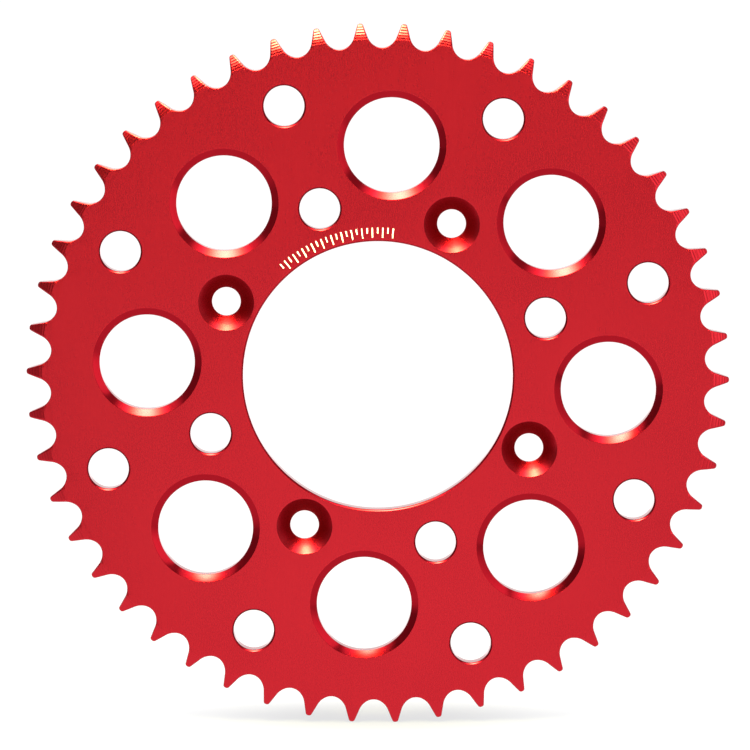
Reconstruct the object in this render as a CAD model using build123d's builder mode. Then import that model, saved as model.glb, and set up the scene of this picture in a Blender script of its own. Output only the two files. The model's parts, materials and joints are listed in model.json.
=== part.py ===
from build123d import *
import os
from math import cos, radians, sin, tan

# Rear chain sprocket, one machined plate. Millimetres.
# The axle runs along Y through the origin, which is in the middle of the plate's thickness.
# The face that shows on the motorcycle looks along -Y, and the hub is against the +Y face.

# chain and teeth
tooth_count = 50
chain_pitch = 12.7
roller_diameter = 7.77
root_clearance = 0.115  # between a roller on the pitch circle and the bottom of its gap
seat_radius = 4.10  # arc at the bottom of a tooth gap
seat_angle = 29.65  # from the bottom of the gap to where the flank arc starts
flank_radius = 5.18
flank_angle = 68.0  # from the bottom of the gap to where the straight flank starts
tip_radius = 104.3
tip_rounding = 0.8

# plate and hub
thickness = 6.0
bore_radius = 40.0
edge_break = 0.5  # 45 degree chamfer on every rim but the countersunk ones
pattern_turn = 64.09  # from +X to the radius that a bolt hole and a tooth share

# bolt holes for countersunk M8 screws
bolt_count = 4
bolt_circle_radius = 50.0
bolt_hole_radius = 4.25
bolt_sink_radius = 8.3
bolt_sink_angle = 90

# lightening holes: large ones in the web, small ones towards the teeth and between the bolts
web_hole_count = 8
web_hole_circle_radius = 68.55
web_hole_radius = 14.1
web_sink_radius = 16.15
web_sink_angle = 120
small_hole_radius = 6.0
rim_hole_count = 8
rim_hole_circle_radius = 84.7
hub_hole_count = 4
hub_hole_circle_radius = 52.55

# side relief of the teeth, cut in steps that get steeper towards the tip
relief_steps = 5
relief_start_radius = 100.4
first_riser_slope = 21.0
slope_growth = 5.5
relief_overrun = 1.0  # how far the cut runs past the tips and the faces

tooth_angle = 360 / tooth_count
pitch_radius = chain_pitch / (2 * sin(radians(tooth_angle / 2)))
root_radius = pitch_radius - roller_diameter / 2 - root_clearance
turn = radians(pattern_turn)
front = Plane(origin=(0, -thickness / 2, 0), x_dir=(cos(turn), 0, sin(turn)), z_dir=(0, -1, 0))


def arc_point(centre, radius, angle):
    """The point of an arc at an angle counted from the bottom of the tooth gap."""
    return centre + Vector(-cos(radians(angle)), sin(radians(angle))) * radius


# One tooth gap, with its centre line along X: seat arc, flank arc and straight flank.
with BuildSketch() as tooth_gap:
    with BuildLine():
        seat_bottom = Vector(root_radius, 0)
        seat_centre = Vector(root_radius + seat_radius, 0)
        seat_middle = arc_point(seat_centre, seat_radius, seat_angle / 2)
        seat_end = arc_point(seat_centre, seat_radius, seat_angle)
        flank_centre = arc_point(seat_end, -flank_radius, seat_angle)
        flank_middle = arc_point(flank_centre, flank_radius, (seat_angle + flank_angle) / 2)
        flank_end = arc_point(flank_centre, flank_radius, flank_angle)
        flank_direction = Vector(sin(radians(flank_angle)), cos(radians(flank_angle)))
        flank_top = flank_end + flank_direction * ((tip_radius - flank_end.X) / flank_direction.X)
        ThreePointArc(seat_bottom, seat_middle, seat_end)
        ThreePointArc(seat_end, flank_middle, flank_end)
        Polyline(flank_end, flank_top, (tip_radius, 0))
        mirror(about=Plane.XZ)
    make_face()

# Corners of the stepped relief on the outer side, in a section through the axle:
# each step is a riser and then a terrace.
half_step = (tip_radius - relief_start_radius) / relief_steps / 2
relief_points = [Vector(relief_start_radius, -thickness / 2)]
for step in range(relief_steps):
    terrace_slope = slope_growth * step
    for slope in (first_riser_slope + terrace_slope, terrace_slope):
        relief_points.append(relief_points[-1] + Vector(half_step, half_step * tan(radians(slope))))

with BuildPart(front) as sprocket_plate:
    with BuildSketch(front) as tooth_outline:
        Circle(tip_radius)
        with PolarLocations(0, tooth_count, start_angle=tooth_angle / 2):
            add(tooth_gap.sketch, mode=Mode.SUBTRACT)
        fillet(tooth_outline.vertices().sort_by_distance((0, 0))[-2 * tooth_count :], tip_rounding)
        Circle(bore_radius, mode=Mode.SUBTRACT)
    extrude(amount=-thickness)

    with BuildSketch(Plane.XY) as relief_section:
        with BuildLine():
            Polyline(
                *relief_points,
                relief_points[-1] + Vector(relief_overrun, 0),
                (tip_radius + relief_overrun, -thickness / 2 - relief_overrun),
                (relief_start_radius, -thickness / 2 - relief_overrun),
                close=True,
            )
        make_face()
        mirror(about=Plane.XZ)
    revolve(axis=Axis.Y, mode=Mode.SUBTRACT)

    with PolarLocations(rim_hole_circle_radius, rim_hole_count):
        Hole(small_hole_radius)
    with PolarLocations(hub_hole_circle_radius, hub_hole_count, start_angle=180 / hub_hole_count):
        Hole(small_hole_radius)
    front_rims = sprocket_plate.edges().group_by(Axis.Y)[0].filter_by(lambda edge: edge.is_closed)
    chamfer(front_rims, edge_break)

    with PolarLocations(web_hole_circle_radius, web_hole_count, start_angle=180 / web_hole_count):
        CounterSinkHole(web_hole_radius, web_sink_radius, counter_sink_angle=web_sink_angle)
    with PolarLocations(bolt_circle_radius, bolt_count):
        CounterSinkHole(bolt_hole_radius, bolt_sink_radius, counter_sink_angle=bolt_sink_angle)
    back_rims = sprocket_plate.edges().group_by(Axis.Y)[-1].filter_by(lambda edge: edge.is_closed)
    chamfer(back_rims, edge_break)

sprocket_plate.part.label = "sprocket_plate"

os.makedirs("parts", exist_ok=True)
export_step(sprocket_plate.part, "parts/sprocket_plate.step")
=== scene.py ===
import json
from math import cos, pi, radians, sin, sqrt, tan

import bmesh
import bpy
import numpy as np
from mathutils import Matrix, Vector
from mathutils.geometry import delaunay_2d_cdt


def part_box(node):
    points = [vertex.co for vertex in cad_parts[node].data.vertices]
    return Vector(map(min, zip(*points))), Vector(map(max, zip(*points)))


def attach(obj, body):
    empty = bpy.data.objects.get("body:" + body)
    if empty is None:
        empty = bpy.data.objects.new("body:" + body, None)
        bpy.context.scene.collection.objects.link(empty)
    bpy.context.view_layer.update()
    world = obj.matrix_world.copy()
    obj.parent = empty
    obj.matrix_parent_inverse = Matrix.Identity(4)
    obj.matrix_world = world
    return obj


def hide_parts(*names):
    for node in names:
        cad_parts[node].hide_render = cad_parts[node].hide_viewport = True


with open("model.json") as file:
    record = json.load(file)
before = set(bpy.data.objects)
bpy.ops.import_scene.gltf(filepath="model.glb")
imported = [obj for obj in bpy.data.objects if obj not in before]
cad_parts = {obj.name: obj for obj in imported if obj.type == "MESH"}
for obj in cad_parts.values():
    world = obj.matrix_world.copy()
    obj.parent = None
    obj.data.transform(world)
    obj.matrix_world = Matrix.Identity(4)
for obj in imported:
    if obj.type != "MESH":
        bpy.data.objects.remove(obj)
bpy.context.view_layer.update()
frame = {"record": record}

# Rear sprocket: one anodised plate, rebuilt as a fine mesh on the CAD plate, which it replaces.
# Lengths are metres. The axle is the Y axis, and the outer face looks along -Y. X is to the right
# and Z is up in the picture.
MM = 0.001
PLATE_LOW, PLATE_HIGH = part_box("sprocket_plate")
FRONT = PLATE_LOW.y
BACK = PLATE_HIGH.y
DIMS = {mount["name"]: mount["dims"] for mount in frame["record"]["mounts"]}

# hub side
BORE_RADIUS = DIMS["bore"]["r_mm"] * MM
BOLT_COUNT = DIMS["hub_bolts"]["count"]
BOLT_CIRCLE_RADIUS = DIMS["hub_bolts"]["pcd_mm"] / 2 * MM
BOLT_HOLE_RADIUS = DIMS["hub_bolts"]["hole_r_mm"] * MM
BOLT_SINK_RADIUS = 8.3 * MM
PATTERN_TURN = radians(64.09)  # from +X to the radius that a bolt hole and a tooth share

# teeth
TOOTH_COUNT = DIMS["chain"]["count"]
PITCH_RADIUS = DIMS["chain"]["pcd_mm"] / 2 * MM
ROLLER_RADIUS = 3.885 * MM
ROOT_CLEARANCE = 0.115 * MM
ROOT_RADIUS = PITCH_RADIUS - ROLLER_RADIUS - ROOT_CLEARANCE
SEAT_RADIUS = 4.10 * MM
SEAT_ANGLE = radians(29.65)
FLANK_RADIUS = 5.18 * MM
FLANK_ANGLE = radians(68.0)
TIP_RADIUS = 104.3 * MM
TIP_ROUNDING = 0.8 * MM
HALF_PITCH = pi / TOOTH_COUNT

# stepped relief on the sides of the teeth: six steps, as in the photo. The CAD plate has five,
# and its relief lies up to 0.2 mm nearer to the faces
RELIEF_STEPS = 6
RELIEF_START = 99.62 * MM
FIRST_RISER_SLOPE = 16.0  # degrees, as are the next two
FIRST_TERRACE_SLOPE = 5.0
SLOPE_GROWTH = 3.4  # from one step to the next

# lightening holes
RIM_CHAMFER = 0.5 * MM
WEB_HOLE_RADIUS = 14.1 * MM
WEB_SINK_RADIUS = 16.15 * MM
WEB_SINK_HALF_ANGLE = radians(60)
WEB_CIRCLE_RADIUS = 68.55 * MM
SMALL_HOLE_RADIUS = 6.0 * MM
RIM_CIRCLE_RADIUS = 84.7 * MM
HUB_CIRCLE_RADIUS = 52.55 * MM

# fine detail that only the visual mesh has
EDGE_BREAK = 0.15 * MM  # 45 degrees, all the way round the teeth and gaps
SOFTENING = 0.07 * MM  # on each side of every edge of a chamfer

# how finely the mesh is divided
TOOTH_COLUMNS = 8  # across the relief
CURVE_SAMPLES = 500  # on each stretch of a tooth's outline, to choose the stations from
SEAT_PARTS, FLANK_PARTS, STRAIGHT_PARTS, ROUNDING_PARTS = 6, 8, 1, 7
STATION_GAP = 0.05 * MM  # a station nearer than this to a relief corner gives way to it
ON_CORNER = 0.02 * MM
BORE_SEGMENTS, WEB_SEGMENTS, BOLT_SEGMENTS, SMALL_SEGMENTS = 360, 144, 96, 80

# how cut a surface looks, from 0 on the faces to 1, where the dye is deepest
DEEP_CUT = 1.0
SINK_CUT = 0.7  # the countersinks are a little less dark than the other holes
RELIEF_CUT = 0.25  # the relief has tool marks, but the tint of the faces

# etched marking: a plain row of ticks where the photo has lettering
TICK_COUNT = 24
TICK_FIRST = radians(84)
TICK_LAST = radians(131)
TICK_WIDTH = 0.45 * MM
TICK_OUTER_RADIUS = 44.1 * MM
TICK_LONG = 3.0 * MM
TICK_SHORT = 1.7 * MM
TICK_DEPTH = 0.02 * MM

# the dye on the faces and on deep cuts, each between a darker and a lighter tone
FACE_DARK, FACE_LIGHT = (0.49, 0.010, 0.020, 1), (0.69, 0.021, 0.033, 1)
CUT_DARK, CUT_LIGHT = (0.34, 0.0014, 0.0085, 1), (0.43, 0.0032, 0.013, 1)
ETCHED_DARK, ETCHED_LIGHT = (0.74, 0.66, 0.66, 1), (0.93, 0.90, 0.89, 1)

# noise scales, per metre. Those of the grain are along X, Y and Z
FINE_GRAIN = (4200, 0, 600)
BROAD_GRAIN = (1700, 0, 60)
TOOL_MARKS = 5500
CLOUDS = 28.0
SPECKLE = 9000.0
BUMP_DISTANCE = 0.01 * MM

# camera
LENS, SENSOR_WIDTH = 234.85, 36
CAMERA_DISTANCE = 1.4509
CAMERA_ELEVATION = radians(5.838)
AIM_SHIFT_X, AIM_SHIFT_Z = -0.85 * MM, 0.28 * MM  # from the middle of the outer face

# lights
WHITE = (1, 1, 1, 1)
WARM = (1, 0.92, 0.32, 1)
SOFTBOX_HEIGHT = 0.57
LAMP_CENTRE = (-0.08, -0.34, SOFTBOX_HEIGHT)
LAMP_SPREAD_X, LAMP_SPREAD_Y = 0.14, 0.30
LAMP_STRENGTH = 132.0
WHITE_FLOOR = 1.04  # a little over white, so that the floor is even
WHITE_WORLD = 1.05
FLOOR_REACH = 30


# ---------------------------------------------------------------- mesh


class MeshData:
    """Points, faces and what they carry, gathered before the mesh is made."""

    def __init__(self):
        self.index = {}
        self.points = []
        self.machined = []
        self.tool_path = []
        self.faces = []
        self.materials = []
        self.sharp = set()

    def point(self, x, y, z, machined=0.0, tool_path=0.0):
        """The number of a point, the same one each time that the same place is asked for."""
        key = (round(x, 8), round(y, 8), round(z, 8))
        if key not in self.index:
            self.index[key] = len(self.points)
            self.points.append((x, y, z))
            self.machined.append(machined)
            self.tool_path.append(tool_path)
        return self.index[key]

    def polar(self, radius, angle, y, machined=0.0, tool_path=0.0):
        return self.point(radius * cos(angle), y, radius * sin(angle), machined, tool_path)

    def face(self, corners, material=0):
        self.faces.append(corners)
        self.materials.append(material)

    def strip(self, first, second, closed=False):
        """Quads between two rows with the same number of points."""
        count = len(first)
        for i in range(count if closed else count - 1):
            j = (i + 1) % count
            self.face((first[i], first[j], second[j], second[i]))


def relief_profile():
    """(radius, depth below the face) at each corner of the stepped relief."""
    half_step = (TIP_RADIUS - RELIEF_START) / RELIEF_STEPS / 2
    corners = [(RELIEF_START, 0.0)]
    for step in range(RELIEF_STEPS):
        for first_slope in (FIRST_RISER_SLOPE, FIRST_TERRACE_SLOPE):
            slope = radians(first_slope + SLOPE_GROWTH * step)
            radius, depth = corners[-1]
            corners.append((radius + half_step, depth + half_step * tan(slope)))
    return corners


RELIEF = relief_profile()


def relief_depth(radius):
    radii, depths = zip(*RELIEF)
    return float(np.interp(radius, radii, depths))


def half_tooth_curve():
    """Half a tooth's outline as complex numbers, from the bottom of the gap to the start of the
    land on the tip, with the tooth's centre line along the real axis. With it come the unit
    normals into the metal, and the stretches that get stations: (first, last, parts)."""
    samples = CURVE_SAMPLES
    seat_centre = ROOT_RADIUS + SEAT_RADIUS
    seat_turn = np.linspace(0, SEAT_ANGLE, samples)
    seat_normal = -np.exp(-1j * seat_turn)
    seat = seat_centre + SEAT_RADIUS * seat_normal

    flank_turn = np.linspace(SEAT_ANGLE, FLANK_ANGLE, samples)
    flank_normal = -np.exp(-1j * flank_turn)
    flank = seat[-1] + FLANK_RADIUS * (flank_normal - flank_normal[0])

    # the rounding touches the straight end of the flank and the tip circle
    inward = flank_normal[-1]
    along = -1j * inward
    start = flank[-1] + TIP_ROUNDING * inward
    reach = (start * along.conjugate()).real
    run = sqrt(reach**2 - abs(start) ** 2 + (TIP_RADIUS - TIP_ROUNDING) ** 2) - reach
    centre = start + run * along
    straight = flank[-1] + np.linspace(0, run, samples) * along
    turn = np.linspace(np.angle(-inward), np.angle(centre), samples)
    rounding_normal = -np.exp(1j * turn)
    rounding = centre - TIP_ROUNDING * rounding_normal

    outline = np.concatenate([seat, flank, straight, rounding])
    normals = np.concatenate([seat_normal, flank_normal, np.full(samples, inward), rounding_normal])
    to_tooth = np.exp(-1j * HALF_PITCH)
    parts = (SEAT_PARTS, FLANK_PARTS, STRAIGHT_PARTS, ROUNDING_PARTS)
    stretches = [(k * samples, (k + 1) * samples - 1, count) for k, count in enumerate(parts)]
    return outline * to_tooth, normals * to_tooth, stretches


def half_tooth_stations():
    """The stations up half a tooth. Each has its place on the outline and, inside it by the edge
    break, on the face, both as (radius, angle from the centre line), and the run from the gap."""
    outline, normals, stretches = half_tooth_curve()
    inner = outline + EDGE_BREAK * normals
    runs = np.concatenate([[0], np.cumsum(np.abs(np.diff(outline)))])
    chosen = {0.0}
    for first, last, parts in stretches:
        chosen.update(float(k) for k in np.rint(np.linspace(first, last, parts + 1))[1:])
    radii = np.abs(inner)
    for radius, _ in RELIEF:
        if radius < radii[-1]:
            crossing = int(np.argmax(radii >= radius))
            chosen = {k for k in chosen if abs(radii[int(k)] - radius) > STATION_GAP}
            chosen.add(float(crossing))
    stations = []
    for k in sorted(chosen):
        at = int(k)
        radius = min((r for r, _ in RELIEF), key=lambda r: abs(r - radii[at]))
        on_step = abs(radius - radii[at]) < ON_CORNER
        stations.append(
            {
                "edge": (abs(outline[at]), abs(np.angle(outline[at]))),
                "face": (radius if on_step else radii[at], abs(np.angle(inner[at]))),
                "run": ROOT_RADIUS + runs[at],
                "step": on_step,
            }
        )
    return stations


def add_tooth_side(mesh, centre, side, stations):
    """One side of one tooth. Returns its points round the flat face, and round the edge's foot."""
    level = FRONT if side < 0 else BACK
    grid, feet = [], {-1: [], 1: []}
    for station in stations:
        radius, angle = station["face"]
        depth = relief_depth(radius)
        cut = RELIEF_CUT if depth > 0 else 0.0
        y = level - side * depth
        turns = np.linspace(-angle, angle, TOOTH_COLUMNS + 1)
        if radius < RELIEF_START:
            turns = turns[[0, -1]]
        grid.append([mesh.polar(radius, centre + turn, y, cut, radius) for turn in turns])
        edge_radius, edge_angle = station["edge"]
        for hand in (-1, 1):
            foot = mesh.polar(
                edge_radius,
                centre + hand * edge_angle,
                y - side * EDGE_BREAK,
                DEEP_CUT,
                station["run"],
            )
            feet[hand].append(foot)
    land_radius, land_angle = stations[-1]["edge"]
    land_y = level - side * (relief_depth(stations[-1]["face"][0]) + EDGE_BREAK)
    turns = np.linspace(-land_angle, land_angle, TOOTH_COLUMNS + 1)
    land_run = stations[-1]["run"]
    land = [mesh.polar(land_radius, centre + t, land_y, DEEP_CUT, land_run) for t in turns]

    for row, station in zip(grid, stations):
        if station["step"]:
            mesh.sharp.update(frozenset(pair) for pair in zip(row, row[1:]))
    for lower, upper in zip(grid, grid[1:]):
        if len(lower) == len(upper) > 2:
            mesh.strip(lower, upper)
    left, right = [row[0] for row in grid], [row[-1] for row in grid]
    mesh.strip(left, feet[-1])
    mesh.strip(right, feet[1])
    mesh.strip(grid[-1], land)
    flat = [row for row, station in zip(grid, stations) if station["face"][0] <= RELIEF_START]
    face_loop = [row[0] for row in flat] + flat[-1][1:-1] + [row[-1] for row in reversed(flat)]
    foot_loop = feet[-1][:-1] + land + feet[1][-2::-1]
    return face_loop, foot_loop


def add_teeth(mesh):
    """All teeth. Returns the loop of points round the flat part of each face."""
    stations = half_tooth_stations()
    loops = {-1: [], 1: []}
    for tooth in range(TOOTH_COUNT):
        centre = PATTERN_TURN + tooth * 2 * HALF_PITCH
        feet = []
        for side in (-1, 1):
            face_loop, foot_loop = add_tooth_side(mesh, centre, side, stations)
            loops[side] += face_loop[:-1]
            feet.append(foot_loop)
        mesh.strip(*feet)
    return loops


def softened(corners):
    """A hole's profile, (radius, y) from the front face to the back, with each corner made two."""
    ends = [(corners[0][0] + 1, corners[0][1]), (corners[-1][0] + 1, corners[-1][1])]
    line = [Vector(p) for p in [ends[0], *corners, ends[1]]]
    points = []
    for before, corner, after in zip(line, line[1:], line[2:]):
        points.append(corner + (before - corner).normalized() * SOFTENING)
        points.append(corner + (after - corner).normalized() * SOFTENING)
    return points


def chamfered_profile(radius):
    return [
        (radius + RIM_CHAMFER, FRONT),
        (radius, FRONT + RIM_CHAMFER),
        (radius, BACK - RIM_CHAMFER),
        (radius + RIM_CHAMFER, BACK),
    ]


def sunk_profile(radius, sink_radius, half_angle):
    return [
        (sink_radius, FRONT),
        (radius, FRONT + (sink_radius - radius) / tan(half_angle)),
        (radius, BACK - RIM_CHAMFER),
        (radius + RIM_CHAMFER, BACK),
    ]


def hole_list():
    """(centre x, centre z, profile, points round it, how cut it looks) for every hole."""

    def ring(count, circle_radius, start, profile, segments, cut=DEEP_CUT):
        for k in range(count):
            angle = PATTERN_TURN + start + k * 2 * pi / count
            yield circle_radius * cos(angle), circle_radius * sin(angle), profile, segments, cut

    web = sunk_profile(WEB_HOLE_RADIUS, WEB_SINK_RADIUS, WEB_SINK_HALF_ANGLE)
    bolt = sunk_profile(BOLT_HOLE_RADIUS, BOLT_SINK_RADIUS, radians(45))
    small = chamfered_profile(SMALL_HOLE_RADIUS)
    eighth = pi / BOLT_COUNT
    return [
        (0.0, 0.0, chamfered_profile(BORE_RADIUS), BORE_SEGMENTS, DEEP_CUT),
        *ring(BOLT_COUNT, BOLT_CIRCLE_RADIUS, 0, bolt, BOLT_SEGMENTS, SINK_CUT),
        *ring(BOLT_COUNT, HUB_CIRCLE_RADIUS, eighth, small, SMALL_SEGMENTS),
        *ring(2 * BOLT_COUNT, RIM_CIRCLE_RADIUS, 0, small, SMALL_SEGMENTS),
        *ring(2 * BOLT_COUNT, WEB_CIRCLE_RADIUS, eighth / 2, web, WEB_SEGMENTS),
    ]


def add_hole(mesh, x, z, profile, segments, cut):
    """The inside of one hole. Returns its rings of points at the front and back faces."""
    points = softened(profile)
    rows, run, previous = [], 0.0, points[0]
    for i, place in enumerate(points):
        run += (place - previous).length
        previous = place
        machined = 0.0 if i in (0, len(points) - 1) else cut
        turns = np.linspace(0, 2 * pi, segments, endpoint=False)
        row = [
            mesh.point(x + place.x * cos(t), place.y, z + place.x * sin(t), machined, run)
            for t in turns
        ]
        rows.append(row)
    for lower, upper in zip(rows, rows[1:]):
        mesh.strip(lower, upper, closed=True)
    return rows[0], rows[-1]


def add_ticks(mesh):
    """The etched ticks, just below the front face. Returns the loops of points round them."""
    loops = []
    half_width = TICK_WIDTH / 2 / TICK_OUTER_RADIUS
    for k, angle in enumerate(np.linspace(TICK_FIRST, TICK_LAST, TICK_COUNT)):
        inner = TICK_OUTER_RADIUS - (TICK_SHORT if k % 2 else TICK_LONG)
        corners = [
            (inner, angle - half_width),
            (TICK_OUTER_RADIUS, angle - half_width),
            (TICK_OUTER_RADIUS, angle + half_width),
            (inner, angle + half_width),
        ]
        rim = [mesh.polar(r, a, FRONT) for r, a in corners]
        floor = [mesh.polar(r, a, FRONT + TICK_DEPTH) for r, a in corners]
        mesh.strip(rim, floor, closed=True)
        mesh.face(tuple(floor), material=1)
        for row in (rim, floor):
            mesh.sharp.update(frozenset(pair) for pair in zip(row, row[1:] + row[:1]))
        loops.append(rim)
    return loops


def fill_face(mesh, outline, openings):
    """Triangles over the flat part of a face, inside its outline and outside its round openings.
    A triangle with all its corners on one opening lies in that opening."""
    loops = [outline, *openings]
    numbers = [n for loop in loops for n in loop]
    owner = [k for k, loop in enumerate(loops) for _ in loop]
    places = [Vector((mesh.points[n][0], mesh.points[n][2])) / MM for n in numbers]
    edges, first = [], 0
    for loop in loops:
        count = len(loop)
        edges += [(first + i, first + (i + 1) % count) for i in range(count)]
        first += count
    inside_only, tolerance = 1, 1e-7
    made = delaunay_2d_cdt(places, edges, [], inside_only, tolerance)
    triangles, originals = made[2], made[3]
    for triangle in triangles:
        corners = [originals[i][0] for i in triangle]
        owners = {owner[i] for i in corners}
        if len(owners) > 1 or owners == {0}:
            mesh.face(tuple(numbers[i] for i in corners))


def plate_mesh():
    mesh = MeshData()
    outlines = add_teeth(mesh)
    rings = [add_hole(mesh, *hole) for hole in hole_list()]
    fill_face(mesh, outlines[-1], [front for front, _ in rings] + add_ticks(mesh))
    fill_face(mesh, outlines[1], [back for _, back in rings])
    return mesh


def attribute(mesh, name, values):
    layer = mesh.attributes.new(name, "FLOAT", "POINT")
    layer.data.foreach_set("value", np.array(values, np.float32))


def add_plate(materials):
    data = plate_mesh()
    mesh = bpy.data.meshes.new("plate")
    mesh.from_pydata(data.points, [], data.faces)
    for material in materials:
        mesh.materials.append(material)
    mesh.polygons.foreach_set("material_index", data.materials)
    attribute(mesh, "machined", data.machined)
    attribute(mesh, "tool_path", data.tool_path)
    welded = bmesh.new()
    welded.from_mesh(mesh)
    bmesh.ops.recalc_face_normals(welded, faces=welded.faces)
    welded.to_mesh(mesh)
    welded.free()
    mesh.shade_smooth()
    for edge in mesh.edges:
        if frozenset(edge.vertices) in data.sharp:
            edge.use_edge_sharp = True
    plate = bpy.data.objects.new("plate", mesh)
    bpy.context.scene.collection.objects.link(plate)
    weighted = plate.modifiers.new("weighted_normals", "WEIGHTED_NORMAL")
    weighted.keep_sharp = True
    weighted.weight = 50
    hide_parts("sprocket_plate")
    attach(plate, "root")


# ---------------------------------------------------------------- materials


class Nodes:
    """Short calls to build a node tree."""

    def __init__(self, name, tree=None):
        if tree is None:
            self.material = bpy.data.materials.new(name)
            self.material.use_nodes = True
            tree = self.material.node_tree
        self.tree = tree
        tree.nodes.clear()

    def add(self, kind, inputs=None, **settings):
        node = self.tree.nodes.new("ShaderNode" + kind)
        for name, value in settings.items():
            setattr(node, name, value)
        for name, value in (inputs or {}).items():
            socket = node.inputs[name]
            if isinstance(value, bpy.types.NodeSocket):
                self.tree.links.new(value, socket)
            else:
                socket.default_value = value
        return node

    def math(self, operation, a, b=0.0, c=0.0):
        return self.add("Math", {0: a, 1: b, 2: c}, operation=operation).outputs[0]

    def blend(self, share, a, b):
        """a where share is 0, b where it is 1."""
        return self.add("Mix", {0: share, 2: a, 3: b}).outputs[0]

    def blend_colour(self, share, a, b):
        return self.add("Mix", {0: share, 6: a, 7: b}, data_type="RGBA").outputs[2]

    def ramp(self, value, start, end, low, high):
        """Smoothly from low, where value is start, to high, where it is end."""
        inputs = {0: value, 1: start, 2: end, 3: low, 4: high}
        return self.add("MapRange", inputs, interpolation_type="SMOOTHSTEP").outputs[0]

    def noise(self, vector, scale, detail=2.0, roughness=0.5, **settings):
        inputs = {"Vector": vector, "Scale": scale, "Detail": detail, "Roughness": roughness}
        return self.add("TexNoise", inputs, **settings).outputs["Fac"]


def anodised_red():
    n = Nodes("anodised_red")
    place = n.add("TexCoord").outputs["Object"]
    machined = n.add("Attribute", attribute_name="machined").outputs["Fac"]
    tool_path = n.add("Attribute", attribute_name="tool_path").outputs["Fac"]

    # the faces have a fine vertical grain, everything cut has marks across the tool's path
    fine = n.add("Mapping", {"Vector": place, "Scale": FINE_GRAIN}).outputs[0]
    fine_grain = n.noise(fine, 1.0, 3.0, 0.6)
    broad = n.add("Mapping", {"Vector": place, "Scale": BROAD_GRAIN}).outputs[0]
    broad_grain = n.noise(broad, 1.0, 2.0, 0.5)
    grain = n.blend(0.3, fine_grain, broad_grain)
    tool_inputs = {"W": n.math("MULTIPLY", tool_path, TOOL_MARKS), "Scale": 1.0, "Detail": 2.0}
    marks = n.add("TexNoise", tool_inputs, noise_dimensions="1D").outputs["Fac"]
    cut = n.math("GREATER_THAN", machined, 0.2)
    height = n.blend(cut, grain, marks)
    depth = n.blend(cut, 0.035, 0.25)
    bump = n.add("Bump", {"Height": height, "Strength": depth, "Distance": BUMP_DISTANCE})

    # the dye takes a little unevenly, and looks deeper where metal was cut away
    cloudy = n.noise(place, CLOUDS, 3.0, 0.55)
    tone = n.blend(0.35, grain, cloudy)
    deep = n.ramp(machined, 0.3, 1, 0, 1)
    dark = n.blend_colour(deep, FACE_DARK, CUT_DARK)
    light = n.blend_colour(deep, FACE_LIGHT, CUT_LIGHT)
    colour = n.blend_colour(tone, dark, light)
    face_roughness = n.math("MULTIPLY_ADD", tone, 0.14, 0.21)
    smoothest = n.ramp(machined, SINK_CUT, DEEP_CUT, 0.2, 0.09)
    cut_roughness = n.math("MULTIPLY_ADD", marks, 0.08, smoothest)
    roughness = n.blend(cut, face_roughness, cut_roughness)

    shader = n.add(
        "BsdfPrincipled",
        {
            "Base Color": colour,
            "Metallic": 1.0,
            "Roughness": roughness,
            "Normal": bump.outputs[0],
            "Coat Weight": 0.14,
            "Coat Roughness": 0.12,
        },
    )
    n.add("OutputMaterial", {"Surface": shader.outputs[0]})
    return n.material


def etched_white():
    n = Nodes("etched_white")
    place = n.add("TexCoord").outputs["Object"]
    speckle = n.noise(place, SPECKLE, 2.0, 0.6)
    colour = n.blend_colour(speckle, ETCHED_DARK, ETCHED_LIGHT)
    bump = n.add("Bump", {"Height": speckle, "Strength": 0.3, "Distance": BUMP_DISTANCE})
    inputs = {"Base Color": colour, "Roughness": 0.75, "Normal": bump.outputs[0]}
    shader = n.add("BsdfPrincipled", inputs)
    n.add("OutputMaterial", {"Surface": shader.outputs[0]})
    return n.material


# ---------------------------------------------------------------- camera, lights and floor


def add_camera():
    """A long lens, a little above the axle and square to the plate."""
    camera = bpy.data.cameras.new("camera")
    camera.lens = LENS
    camera.sensor_width = SENSOR_WIDTH
    camera.clip_start = 0.1
    camera.clip_end = 100
    middle = (PLATE_LOW + PLATE_HIGH) / 2
    aim = Vector((middle.x + AIM_SHIFT_X, FRONT, middle.z + AIM_SHIFT_Z))
    away = Vector((0, -cos(CAMERA_ELEVATION), sin(CAMERA_ELEVATION)))
    holder = bpy.data.objects.new("camera", camera)
    holder.location = aim + CAMERA_DISTANCE * away
    holder.rotation_euler = (pi / 2 - CAMERA_ELEVATION, 0, 0)
    bpy.context.scene.collection.objects.link(holder)
    bpy.context.scene.camera = holder


def surround(n, direction):
    """How bright the studio is in a direction above the floor: white behind the plate, middling
    near the horizon in front of it, dark to its left and a little less so to its right."""
    x, y, z = n.add("SeparateXYZ", {0: direction}).outputs
    upwards = n.ramp(z, 0.4, 0.65, 0, 0.25)
    left = n.math("ADD", upwards, n.ramp(y, -0.7, -0.5, 0.18, 0.31))
    side = n.blend(n.ramp(x, -0.4, 0.5, 0, 1), left, 0.45)
    ahead = n.math("MULTIPLY", n.ramp(y, -0.92, -0.99, 0, 1), n.ramp(z, 0, 0.08, 1, 0))
    front = n.blend(ahead, side, 0.75)
    return n.blend(n.ramp(y, 0, 0.9, 0, 1), front, 1.1)


def add_panel(name, centre, across, up, material):
    """A flat stage panel. across and up run from its middle to its edges."""
    centre, across, up = Vector(centre), Vector(across), Vector(up)
    corners = [centre + i * across + j * up for i, j in ((-1, -1), (1, -1), (1, 1), (-1, 1))]
    mesh = bpy.data.meshes.new(name)
    mesh.from_pydata(corners, [], [(0, 1, 2, 3)])
    mesh.materials.append(material)
    panel = bpy.data.objects.new(name, mesh)
    bpy.context.scene.collection.objects.link(panel)
    return panel


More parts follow.
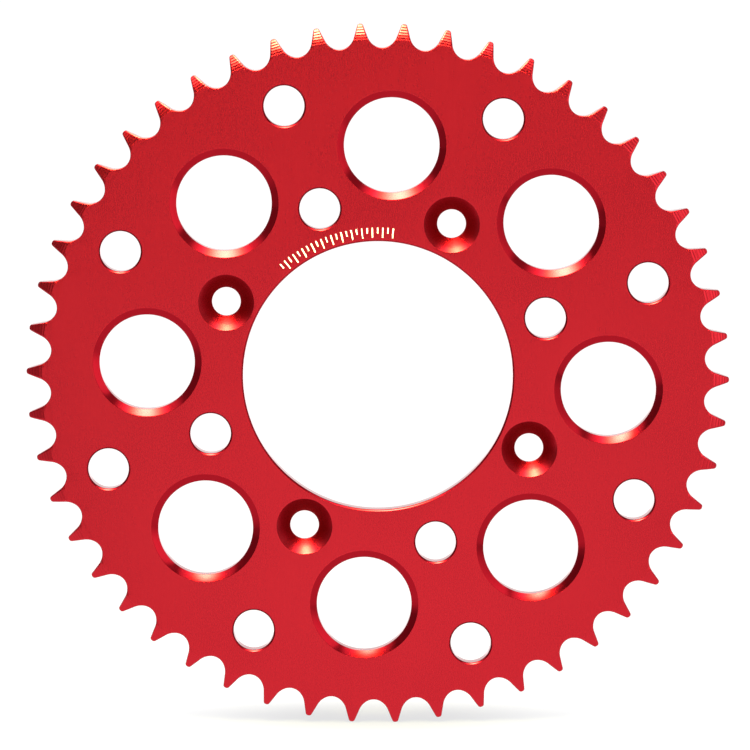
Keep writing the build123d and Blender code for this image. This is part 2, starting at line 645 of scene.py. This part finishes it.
def softbox_glow():
    """White, dimmer at its left and right ends, with a hot and warm lamp in it and a narrow part
    that reaches forwards. The lamp shows only in first reflections, which keeps stray sparks out
    of the holes."""
    n = Nodes("softbox")
    place = n.add("TexCoord").outputs["Object"]
    x, y, _ = n.add("SeparateXYZ", {0: place}).outputs
    from_lamp = n.add("VectorMath", {0: place, 1: LAMP_CENTRE}, operation="SUBTRACT").outputs[0]
    spread = {0: from_lamp, 1: (1 / LAMP_SPREAD_X, 1 / LAMP_SPREAD_Y, 1)}
    away = n.add("VectorMath", spread, operation="MULTIPLY").outputs[0]
    squared = n.add("VectorMath", {0: away, 1: away}, operation="DOT_PRODUCT").outputs["Value"]
    hot = n.math("EXPONENT", n.math("MULTIPLY", squared, -1.0))
    first = n.math("LESS_THAN", n.add("LightPath").outputs["Ray Depth"], 1.5)
    lamp = n.math("MULTIPLY", n.math("MULTIPLY", hot, first), n.ramp(y, -0.54, -0.47, 0, 1))
    colour = n.blend_colour(n.ramp(hot, 0, 0.1, 0, 1), WHITE, WARM)

    # the white grows to the right in two rises, and falls again at the right-hand end
    rise = n.math("ADD", n.ramp(x, -0.8, -0.5, 0.5, 1.45), n.ramp(x, -0.3, 0.1, 0, 0.4))
    white = n.math("MULTIPLY", rise, n.ramp(x, 0.28, 0.43, 1, 0.3))
    off_centre = n.math("MULTIPLY", n.math("ADD", x, 0.04), 1 / 0.2)
    narrow = n.math("EXPONENT", n.math("MULTIPLY", n.math("MULTIPLY", off_centre, off_centre), -1))
    forward = n.math("MULTIPLY_ADD", narrow, n.ramp(y, -1.5, -0.6, 0.6, 1.8), 0.2)
    base = n.blend(n.ramp(y, -0.66, -0.58, 0, 1), forward, white)
    strength = n.math("MULTIPLY_ADD", lamp, LAMP_STRENGTH, base)
    light = n.add("Emission", {"Color": colour, "Strength": strength})
    n.add("OutputMaterial", {"Surface": light.outputs[0]})
    return n.material


def reflector_glow():
    """White, and dimmer towards the right, the floor and the top."""
    n = Nodes("reflector")
    x, _, z = n.add("SeparateXYZ", {0: n.add("TexCoord").outputs["Object"]}).outputs
    from_left = n.ramp(x, 0.21, 0.31, 1.85, 0.85)
    strength = n.math("MULTIPLY", from_left, n.ramp(z, -0.11, -0.02, 0.55, 1))
    strength = n.math("MULTIPLY", strength, n.ramp(z, 0.165, 0.205, 1, 0.5))
    light = n.add("Emission", {"Strength": strength})
    n.add("OutputMaterial", {"Surface": light.outputs[0]})
    return n.material


def add_lights():
    """A large softbox above and in front, and an upright reflector to the right, turned 45 degrees
    towards the plate. The camera looks past them, but they show in the metal."""
    softbox = ((-0.18, -0.735, SOFTBOX_HEIGHT), (0.61, 0, 0), (0, 0.765, 0))
    reflector = ((0.281, -0.149, 0.05), (0.096, 0.096, 0), (0, 0, 0.155))
    for panel in (
        add_panel("softbox", *softbox, softbox_glow()),
        add_panel("reflector", *reflector, reflector_glow()),
    ):
        panel.visible_camera = False


def add_floor():
    """Pale floor that glows enough to be white to the camera. Its glow has a soft oval shadow
    painted into it where the plate stands, and its faint diffuse part takes real shadows as well.
    """
    n = Nodes("floor")
    place = n.add("TexCoord").outputs["Object"]
    below_plate = (0, 0, PLATE_LOW.z)
    ground = n.add("VectorMath", {0: place, 1: below_plate}, operation="SUBTRACT").outputs[0]
    away = n.add("VectorMath", {0: ground}, operation="LENGTH").outputs["Value"]
    direction = n.add("VectorMath", {0: ground}, operation="NORMALIZE").outputs[0]
    ahead = n.ramp(n.add("SeparateXYZ", {0: direction}).outputs["Y"], -0.93, -0.995, 0, 1)

    # what the metal mirrors: bright near the plate and straight ahead of it, else the studio
    beyond = n.math("MULTIPLY", surround(n, direction), 1.4)
    beside = n.blend(n.ramp(away, 0.1, 0.6, 0, 1), 1.0, beyond)
    far_ahead = n.ramp(away, 0.4, 3.0, 1.1, 0.6)
    in_front = n.blend(n.ramp(away, 0.07, 0.25, 0, 1), WHITE_FLOOR, far_ahead)
    mirrored = n.blend(ahead, beside, in_front)

    # what the camera sees: white, with a painted oval shadow in the glow where the plate stands
    behind = n.add("VectorMath", {0: ground, 1: (0, 0.008, 0)}, operation="SUBTRACT").outputs[0]
    spread = {0: behind, 1: (1 / 0.06, 1 / 0.03, 1)}
    shadow = n.add("VectorMath", spread, operation="MULTIPLY").outputs[0]
    edge = n.add("VectorMath", {0: shadow}, operation="LENGTH").outputs["Value"]
    white_with_painted_shadow = n.ramp(edge, 0.2, 1.4, 0.74, WHITE_FLOOR)
    seen = n.add("LightPath").outputs["Is Camera Ray"]
    light = n.add("Emission", {"Strength": n.blend(seen, mirrored, white_with_painted_shadow)})
    surface = n.add("BsdfDiffuse", {"Color": (0.03, 0.031, 0.045, 1)})
    both = n.add("AddShader", {0: light.outputs[0], 1: surface.outputs[0]})
    n.add("OutputMaterial", {"Surface": both.outputs[0]})
    add_panel("floor", below_plate, (FLOOR_REACH, 0, 0), (0, FLOOR_REACH, 0), n.material)


def add_world():
    """White to the camera, and the studio's surroundings in reflections."""
    world = bpy.data.worlds.new("world")
    world.use_nodes = True
    bpy.context.scene.world = world
    n = Nodes("world", world.node_tree)
    seen = n.add("LightPath").outputs["Is Camera Ray"]
    direction = n.add("TexCoord").outputs["Generated"]
    strength = n.blend(seen, surround(n, direction), WHITE_WORLD)
    light = n.add("Background", {"Color": WHITE, "Strength": strength})
    n.add("OutputWorld", {"Surface": light.outputs[0]})


add_camera()
add_plate([anodised_red(), etched_white()])
add_lights()
add_floor()
add_world()
bpy.context.scene.view_settings.view_transform = "Standard"
